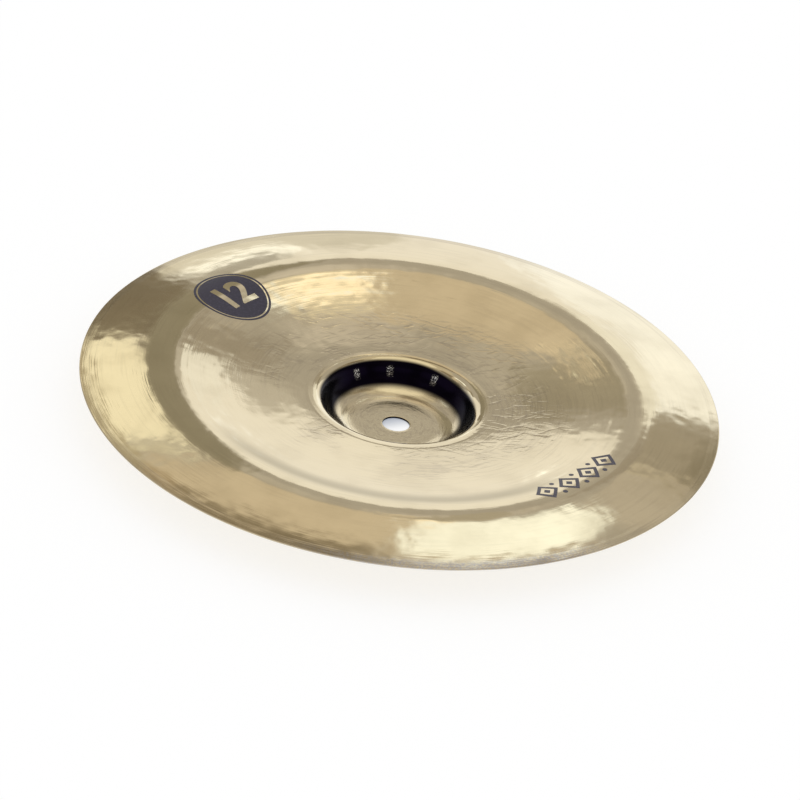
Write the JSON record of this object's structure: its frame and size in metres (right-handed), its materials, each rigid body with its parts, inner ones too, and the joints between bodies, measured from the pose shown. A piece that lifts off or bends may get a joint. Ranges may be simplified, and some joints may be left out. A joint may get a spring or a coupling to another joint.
{
  "type": "china cymbal",
  "caption": "China cymbal of hammered and lathed sheet bronze, lying inside face up: flat-crowned cup round a hole for the stand, shallow bow, bend and turned-back flange.",
  "frame": {"origin": "on the axis of the centre hole, on the underside of the cup's crown, which is what the cymbal rests on", "axes": "+Z along the axis, out of the inside face; -Y towards the picture's camera, +X to its right"},
  "size_m": [0.3048, 0.3048, 0.0245],
  "materials": {
    "bronze": "brilliant polished bronze, hammered and finely lathed"
  },
  "bodies": {
    "root": {"cymbal": "bronze"}
  },
  "joints": []
}
